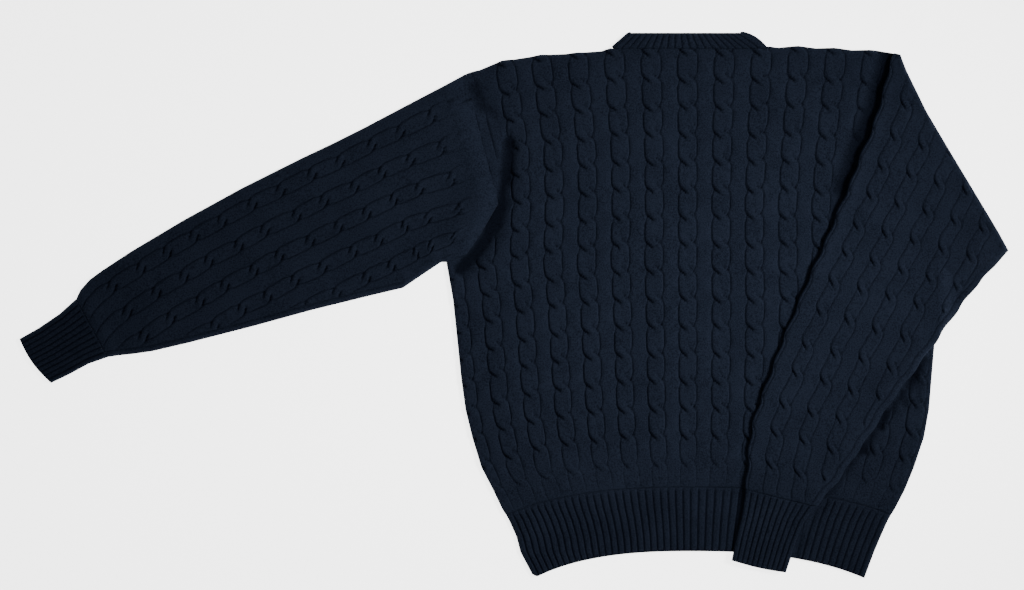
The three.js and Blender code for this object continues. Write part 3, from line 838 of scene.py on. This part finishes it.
def hem_rib(name, is_back):
    """The front or back half of the ribbed welt."""
    cloth = Cloth(name)
    v = np.linspace(0, 1, int(30 / coarser))
    edge = 1 - (1 - np.cos(np.linspace(0, np.pi / 2, 8))) * 0.03
    ribs = np.linspace(-1, 1, RIBS_ACROSS * int(9 / coarser) + 1)
    fine = np.unique(np.concatenate([ribs[np.abs(ribs) < 0.968], edge, -edge]).round(6))
    fine = np.broadcast_to(fine, (len(v), len(fine)))
    plain = np.broadcast_to(np.linspace(-1, 1, 41), (len(v), 41))

    def finished(u, height):
        rows = np.broadcast_to(v[:, None], u.shape)
        y = mix(hem_y(u), rib_top_y(u) - SEAM_CLEAR, rows)
        x = CENTRE_X + u * half_width(y, u)
        inset = (1 - np.abs(u)) * half_width(y, u)
        full = fullness(inset, EDGE_ROUND)
        z, relief = height(x, y, u, rows, full)
        y[-1] += slant(z[-1])
        # The rib grooves get painted shade in the material.
        return np.stack([x, y, z], axis=-1), u * HEM_HALF, y, painted_shade_of(relief)

    def ribs_at(u, rows):
        ends = smooth(rows / 0.06)
        ribs = rib_relief((u + 1) / 2 * RIBS_ACROSS) * mix(0.45, 1, ends) - 0.9 * (1 - ends)
        return mix(ribs, BACK_TOP - RIB_FACE, smooth((rows - 0.94) / 0.06))

    def back_top(x, y, u, rows, full):
        relief = ribs_at(u, rows)
        lift = relief + folds_height(x, y, BODY_FOLDS) + unevenness(x, y)
        return LAYER + (RIB_FACE - LAYER + lift) * full, relief

    def back_bottom(x, y, u, rows, full):
        return LAYER + np.maximum(folds_height(x, y, BODY_FOLDS), 0) * full * 0.85, RIB_LIFT

    def front_top(x, y, u, rows, full):
        return np.full(x.shape, WALL), RIB_LIFT

    def front_bottom(x, y, u, rows, full):
        relief = ribs_at(u, rows)
        return WALL * (1 - full) + (RIB_LIFT - relief) * 0.4 * full, relief

    if is_back:
        cloth.shell(finished(fine, back_top), finished(plain, back_bottom), fine, plain)
    else:
        cloth.shell(finished(plain, front_top), finished(fine, front_bottom), plain, fine)
    piece = cloth.make("wool_rib")
    points = finished(plain, front_top)[0]
    return piece


# Sleeves and cuffs.


def sleeve_ends(table, course):
    """The ends of each row: x and y at the top edge, x and y at the underarm edge."""
    keys = ("top_x", "top_y", "under_x", "under_y")
    return [np.interp(course, table["course"], table[key])[:, None] for key in keys]


def seam_line():
    """The left armhole from the shoulder to the underarm, moved out by the gap."""
    v = body_rows(1.0)
    v = v[v >= CORNER_V]
    x, y = panel_point(row_ends(v, -1), v)
    x, y = x[::-1] - SEAM_CLEAR, y[::-1] + SEAM_CLEAR / 2
    station = np.concatenate([[0], np.cumsum(np.hypot(np.diff(x), np.diff(y)))])
    return station / station[-1], x, y


def level(height):
    """A face of cloth that lies level."""
    return lambda x, y: height + np.zeros(x.shape)


def overhang(x, y):
    """How far a point of the folded sleeve is past the back's armhole."""
    return np.maximum(0, x - boundary_x(y, 1) - ARMHOLE_CLEAR)


def unsupported(x, y):
    """How far a point is past both the back and the sleeve's own hidden layers."""
    below_edge = UNDERARM_Y - y + HIDDEN_EDGE["slope"] * (x - HIDDEN_EDGE["x"])
    return np.minimum(overhang(x, y), np.maximum(0, below_edge * HIDDEN_EDGE["squareness"]))


def tip_droop(x, y):
    """The fold's tip hangs down over the rounded shoulder."""
    tip_x, tip_y = RIGHT_SLEEVE["top_x"][0], RIGHT_SLEEVE["top_y"][0]
    return TIP_DROOP * bell(np.hypot(x - tip_x, y - tip_y), 14.0)


def folded_floor(x, y):
    return FOLD_LIFT * (1 - smooth(overhang(x, y) / HIDDEN_SLOPE)) - tip_droop(x, y)


def folded_ceiling(x, y):
    return BACK_TOP + FOLD_LIFT * (1 - smooth(unsupported(x, y) / 24)) - tip_droop(x, y)


def sleeve_columns(width, step):
    """Distances across, measured from both edges so that each edge is followed closely."""
    longest = float(width.max())
    near = 14.0
    rim = near * (1 - np.cos(np.linspace(0, np.pi / 2, int(17 / step))))
    middle = np.arange(near, longest - near, step)
    from_top = np.concatenate([rim[:-1], middle])[None, :]
    inner = np.maximum(width - near, width * 0.55)
    left = np.minimum(from_top * np.minimum(1, width / (2.2 * near)), inner)
    right = width - rim[::-1][None, :] * np.minimum(1, (width - inner) / near)
    return np.concatenate([left, right], axis=1)


def plain_parts(count, corners):
    """Parts of the width for the columns of a plain face, closer at its edges and corners."""
    edge = np.array([0, 0.01, 0.03])
    middle = np.linspace(0.06, 0.94, count)
    beside = [part + step for part in corners for step in (-0.02, -0.008, 0, 0.008, 0.02)]
    return np.unique(np.concatenate([edge, middle, [0.97, 0.99, 1], beside]))


def tube(
    name,
    course,
    place,
    width,
    floor,
    ceiling,
    relief,
    folds,
    slot,
    rims,
    seams,
    column_step=1.0,
    plain_columns=13,
    corners=(),
):
    """A flattened sleeve or cuff: outer faces with their relief, and a plain hollow.

    place turns distances across into plan points, and floor and ceiling give the heights
    of its two faces there. rims are the widths of its rounded edges. seams gives the row of
    each sewn end, and the way in which its seam leans. corners are the parts of the width
    at which a sewn end turns a corner.
    """
    cloth = Cloth(name)
    fine = sleeve_columns(width, column_step * coarser)
    plain = width * plain_parts(plain_columns, corners)[None, :]

    def along_of(s):
        return np.broadcast_to(course[:, None] * SLEEVE_CROSSING_PITCH, s.shape)

    def lean(x, y, z):
        for row, (toward_x, toward_y) in seams.items():
            x[row] += toward_x * slant(z[row])
            y[row] += toward_y * slant(z[row])
        return np.stack([x, y, z], axis=-1)

    def outer(s, is_top):
        x, y = place(s)
        hollow = 0.0
        full = np.minimum(fullness(s, rims[0]), fullness(width - s, rims[1]))
        low, high = floor(x, y), ceiling(x, y)
        middle = (low + high) / 2
        if is_top:
            lift = relief(s, np.broadcast_to(course[:, None], s.shape), x, y)
            creases = folds_height(x, y, folds)
            # Grooves and deep creases get painted shade in the material.
            hollow = painted_shade_of(lift, creases)
            lift = lift + creases + unevenness(x, y)
            edge = high + np.maximum(lift, 0.6 - (high - middle))
        else:
            edge = low
        return lean(x, y, mix(middle, edge, full)), s, along_of(s), hollow

    def inner(s, side):
        x, y = place(np.clip(s, WALL, width - WALL))
        middle = (floor(x, y) + ceiling(x, y)) / 2
        open_by = np.full(s.shape, side * GAP / 2)
        open_by[:, [0, -1]] = 0
        return lean(x, y, middle + open_by), s, along_of(s)

    top = cloth.grid(*outer(fine, True))
    bottom = cloth.grid(*outer(plain, False))
    inner_top = cloth.grid(*inner(plain, 1))
    inner_bottom = cloth.grid(*inner(plain, -1))
    cloth.surface(top)
    cloth.surface(bottom, flip=True)
    cloth.surface(inner_top, flip=True)
    cloth.surface(inner_bottom)
    for column in (0, -1):
        cloth.wall(bottom[:, column], top[:, column])
        cloth.wall(inner_bottom[:, column], inner_top[:, column])
    for row in (0, -1):
        cloth.end(inner_top[row], plain[row], top[row], fine[row])
        cloth.end(bottom[row], plain[row], inner_bottom[row], plain[row])
    piece = cloth.make(slot)
    x, y = place(plain)
    return piece, 2 * plan_area(x, y)


def sleeve_relief(table, mirror, flip, plain_margin, width, under_line, depths):
    """Cables of a sleeve, and the plain strip along its underarm.

    mirror and flip turn the way in which the strands cross, plain_margin gives the width of
    the plain strip at a course, and under_line is the place of the groove in it.
    """
    first, last = table["first"], table["course"][-1]

    def relief(s, course, x, y):
        index = np.round((s - first) / SLEEVE_CABLE_PITCH)
        step = np.minimum(np.round(course), last - 1)
        along = (course - step) * SLEEVE_CROSSING_PITCH + waver(index, step, 1.2)
        offset = s - first - index * SLEEVE_CABLE_PITCH
        offset = offset + waver(index + 5, step, 0.5) * bell(along, 12)
        lift = cable_relief(offset * mirror, along * flip, SLEEVE_CABLE_HALF, depths)
        from_under = width - s
        strip = 1 - smooth((from_under - plain_margin(course) + 2) / 3)
        lift = mix(lift, BAND_LIFT, strip)
        lift = lift - 1.2 * bell(from_under - under_line, 1.1) * smooth((course - 2.8) / 1.5)
        return lift * smooth((last - course) * SLEEVE_CROSSING_PITCH / 4)

    return relief


def straight_rows(table, course, wave=0.0):
    """Rows from a sleeve's top edge to its underarm edge, both of which wave a little."""
    top_x, top_y, under_x, under_y = sleeve_ends(table, course)
    top_x = top_x + wave * np.sin(2 * np.pi * course[:, None])
    # The edge along the fold, above the corner, is straight.
    waves_below = wave * smooth(course[:, None] - CORNER_COURSE)
    under_x = under_x + waves_below * np.sin(2 * np.pi * course[:, None] + 2.0)
    width = np.hypot(under_x - top_x, under_y - top_y)

    def place(s):
        part = s / width
        return mix(top_x, under_x, part), mix(top_y, under_y, part)

    return place, width


def left_sleeve():
    """The stretched sleeve. Its first rows bend to follow the armhole."""
    course = np.linspace(LEFT_START, LEFT_SLEEVE["course"][-1], int(290 / coarser))
    station, seam_x, seam_y = seam_line()
    chord_place, width = straight_rows(LEFT_SLEEVE, course)
    bow = (np.maximum(0, 1 - course / 3) ** 1.5)[:, None]

    def place(s):
        part = np.clip(s / width, 0, 1)
        x, y = chord_place(part * width)
        seam = np.interp(part, station, seam_x), np.interp(part, station, seam_y)
        x = x + bow * (seam[0] - mix(seam_x[0], seam_x[-1], part))
        y = y + bow * (seam[1] - mix(seam_y[0], seam_y[-1], part))
        x[0], y[0] = seam[0][0], seam[1][0]
        return x, y

    def margin(course):
        return 9.0

    knit_relief = sleeve_relief(LEFT_SLEEVE, -1, 1, margin, width, 7.0, LEFT_GROOVES)

    def relief(s, course, x, y):
        # The rows fan out towards the armhole, so the crossings there lie further apart.
        near_seam = mix(-0.15, 1.0, (course - LEFT_START) / (1 - LEFT_START))
        lift = knit_relief(s, np.where(course < 1, near_seam, course), x, y)
        return BAND_LIFT + (lift - BAND_LIFT) * mix(0.25, 1, smooth((course - 0.5) / 0.5))

    armhole_corner = np.interp(-LEFT_ARMHOLE["y"][1], -seam_y, station)
    piece, area = tube(
        "sleeve_left",
        course,
        place,
        width,
        floor=level(0.0),
        ceiling=level(BACK_TOP),
        relief=relief,
        folds=BODY_FOLDS + UNDERARM_BULGE,
        slot="wool",
        rims=(EDGE_ROUND, EDGE_ROUND),
        seams={0: (1, 0), -1: LEFT_LEAN},
        corners=[station[np.argmax(seam_x)], armhole_corner],
    )
    return piece


def right_sleeve():
    """The folded sleeve, from the tip of its fold to its cuff."""
    course = np.linspace(TIP_COURSE, RIGHT_SLEEVE["course"][-1], int(300 / coarser))
    course[np.argmin(np.abs(course - CORNER_COURSE))] = CORNER_COURSE
    place, width = straight_rows(RIGHT_SLEEVE, course, 1.2)
    rims = (np.minimum(EDGE_ROUND, width * 0.3), np.minimum(EDGE_ROUND + 1, width * 0.4))

    def margin(course):
        return np.where(course <= CORNER_COURSE, 5.0, 14.0)

    relief = sleeve_relief(RIGHT_SLEEVE, 1, -1, margin, width, 9.0, FOLDED_GROOVES)
    piece, area = tube(
        "sleeve_right",
        course,
        place,
        width,
        folded_floor,
        folded_ceiling,
        relief,
        folds=SLEEVE_FOLDS,
        slot="wool",
        rims=rims,
        seams={-1: RIGHT_LEAN},
        plain_columns=25,
    )
    return piece


def cuff(name, table, folds, seam_lean):
    """A ribbed cuff, which starts a seam's gap away from its sleeve and bows out at its end."""
    course = np.linspace(0, CUFF_COURSES, int(44 / coarser))
    top_x, top_y = sleeve_ends(table, course)[:2]
    length = np.hypot(top_x[-1] - top_x[0], top_y[-1] - top_y[0])[0]
    course[0] = GAP / length * CUFF_COURSES
    straight_place, width = straight_rows(table, course)
    bow = table["bow"] * (course[:, None] / CUFF_COURSES) ** 2

    def place(s):
        x, y = straight_place(s)
        out = bow * np.sin(np.pi * np.clip(s / width, 0, 1))
        return x - seam_lean[0] * out, y - seam_lean[1] * out

    def relief(s, rows, x, y):
        end = smooth((CUFF_COURSES - rows) / 0.12)
        ribs = rib_relief(s / width * CUFF_RIBS) * mix(0.4, 1, end) - 0.7 * (1 - end)
        return mix(BACK_TOP - RIB_FACE, ribs, smooth(rows / 0.14))

    lift = np.interp(course, table["course"], table["lift"])[:, None]
    piece, area = tube(
        name,
        course,
        place,
        width,
        floor=level(lift),
        ceiling=level(RIB_FACE + lift),
        relief=relief,
        folds=folds,
        slot="wool_rib",
        rims=(EDGE_ROUND - 1, EDGE_ROUND - 1),
        seams={0: seam_lean},
        column_step=0.6,
    )
    return piece


# The neckband.


def band_edges(angle):
    """The sewn and the free edge of the band's front half, at an angle round the neck."""
    widen = np.sin(2 * angle) ** 2
    sewn = (
        BAND_SEWN["x"] + BAND_SEWN["half_width"] * np.cos(angle),
        BAND_SEWN["y"] - BAND_SEWN["depth"] * np.sin(angle),
    )
    free = (
        BAND_FREE["x"] + BAND_FREE["half_width"] * np.cos(angle) * (1 + 0.13 * widen),
        BAND_FREE["y"] - BAND_FREE["depth"] * np.sin(angle) * (1 + 0.1 * widen),
    )
    return np.array(sewn), np.array(free)


def band_stations():
    """Places round the neck: the two edges, the turn from under to upper, the rib's phase
    and whether the place shows."""
    turns = int(12 / coarser)
    left, right = band_edges(np.pi), band_edges(0.0)
    stations = []
    for part in np.linspace(0, 1, int(BAND_FRONT_RIBS * 8 / coarser) + 1):
        stations.append((*band_edges(np.pi * part), 0.0, part * BAND_FRONT_RIBS, False))
    for i in range(1, turns):
        stations.append((*left, np.pi * i / turns, 0.5, False))
    for part in np.linspace(0, 1, int(BAND_RIBS * 9 / coarser) + 1):
        sewn, free = mix(left[0], right[0], part), mix(left[1], right[1], part)
        stations.append((sewn, free, np.pi, part * BAND_RIBS, True))
    for i in range(1, turns):
        stations.append((*right, np.pi - np.pi * i / turns, 0.5, False))
    return stations


def band_ring(sewn, free, turn, phase, shows):
    """The band's section at one station, as points with their heights."""
    middle = (WALL + LAYER) / 2
    along = free - sewn
    outward = np.array([-along[1], along[0]]) / np.hypot(*along)
    if outward[0] * (sewn[0] - BAND_SEWN["x"]) < 0:
        outward = -outward
    rib = float(rib_relief(np.array(phase)))
    raised = rib if shows else min(rib - RIB_LIFT, 0) * 0.6
    # Its right end is rounded out into the shoulder.
    right_end = BAND_SEWN["x"] + BAND_SEWN["half_width"]
    bulge = BAND_END["bulge"] * bell(right_end - sewn[0], BAND_END["width"])
    ring = []
    for reach, full in BAND_PROFILE:
        depth = mix(GAP / 2, middle, full) + raised * full
        height = middle - depth * np.cos(turn)
        plan = sewn + along * reach + outward * depth * np.sin(turn)
        plan = plan + outward * bulge * np.sin(np.pi * reach)
        if shows:
            height += float(unevenness(plan[0], plan[1])) * full
        height = max(height, 0.0)
        if shows and reach == 0:
            plan[1] -= slant(height)
        ring.append((plan[0], plan[1], height))
    return ring


def neckband():
    """A closed band round the neck, swept through its stations."""
    stations = band_stations()
    points = np.array([band_ring(*station) for station in stations])
    points = np.concatenate([points, points[:1]])
    points = np.concatenate([points, points[:, :1]], axis=1)
    sewn = np.array([station[0] for station in stations])
    steps = np.hypot(*np.diff(sewn, axis=0).T)
    travelled = np.concatenate([[0], np.cumsum(steps)])
    along = np.append(travelled, travelled[-1])
    reach = np.array([reach for reach, _ in BAND_PROFILE] + [0.0]) * 20
    across, up = np.broadcast_arrays(along[:, None], reach[None, :])
    cloth = Cloth("neckband")
    cloth.surface(cloth.grid(points, across, up))
    piece = cloth.make("wool_rib")
    return piece


body_panel("front_panel", False, 2.2, 3.4)
body_panel("back_panel", True, 0.95, 2.05)
hem_rib("hem_rib_front", False)
hem_rib("hem_rib_back", True)
left_sleeve()
cuff("cuff_left", LEFT_CUFF, BODY_FOLDS, LEFT_LEAN)
right_sleeve()
cuff("cuff_right", RIGHT_CUFF, SLEEVE_FOLDS, RIGHT_LEAN)
neckband()


# The floor, the light and the camera.


def plain_material(name, colour, glow):
    material = bpy.data.materials.new(name)
    material.use_nodes = True
    shader = material.node_tree.nodes["Principled BSDF"]
    shader.inputs["Base Color"].default_value = (*colour, 1)
    shader.inputs["Roughness"].default_value = 0.9
    shader.inputs["Emission Color"].default_value = (1, 1, 1, 1)
    shader.inputs["Emission Strength"].default_value = glow
    return material


def studio_floor():
    mesh = bpy.data.meshes.new("floor")
    corners = [(-1, -1), (1, -1), (1, 1), (-1, 1)]
    points = [(FLOOR_REACH * x, FLOOR_REACH * y, FLOOR_LEVEL) for x, y in corners]
    mesh.from_pydata(points, [], [(0, 1, 2, 3)])
    mesh.materials.append(plain_material("floor_paper", (0.92, 0.92, 0.92), FLOOR_GLOW))
    floor = bpy.data.objects.new("floor", mesh)
    bpy.context.collection.objects.link(floor)


def spot_light(name, power, cone, radius, location, target):
    """A round soft light, which fades out towards the edge of its cone."""
    data = bpy.data.lights.new(name, "SPOT")
    data.energy = power
    data.spot_size = np.radians(cone)
    data.spot_blend = 1.0
    data.shadow_soft_size = radius
    light = bpy.data.objects.new(name, data)
    light.location = location
    aim = Vector(target) - Vector(location)
    light.rotation_mode = "QUATERNION"
    light.rotation_quaternion = aim.to_track_quat("-Z", "Y")
    bpy.context.collection.objects.link(light)


def studio_light(strength):
    world = bpy.data.worlds.new("studio")
    world.use_nodes = True
    background = world.node_tree.nodes["Background"]
    background.inputs["Color"].default_value = (1, 1, 1, 1)
    background.inputs["Strength"].default_value = strength
    bpy.context.scene.world = world


def overhead_camera():
    data = bpy.data.cameras.new("camera")
    data.sensor_width = SENSOR_WIDTH
    data.lens = SENSOR_WIDTH * CAMERA_HEIGHT / FRAME_WIDTH
    camera = bpy.data.objects.new("camera", data)
    camera.location = (*CAMERA_AIM, CAMERA_HEIGHT)
    bpy.context.collection.objects.link(camera)
    bpy.context.scene.camera = camera


studio_floor()
studio_light(STUDIO_LIGHT)
spot_light(
    "key_light",
    power=350.0,
    cone=33.0,
    radius=0.3,
    location=(1.7, 0.25, 1.75),
    target=(0.12, 0.02, 0.0),
)
overhead_camera()
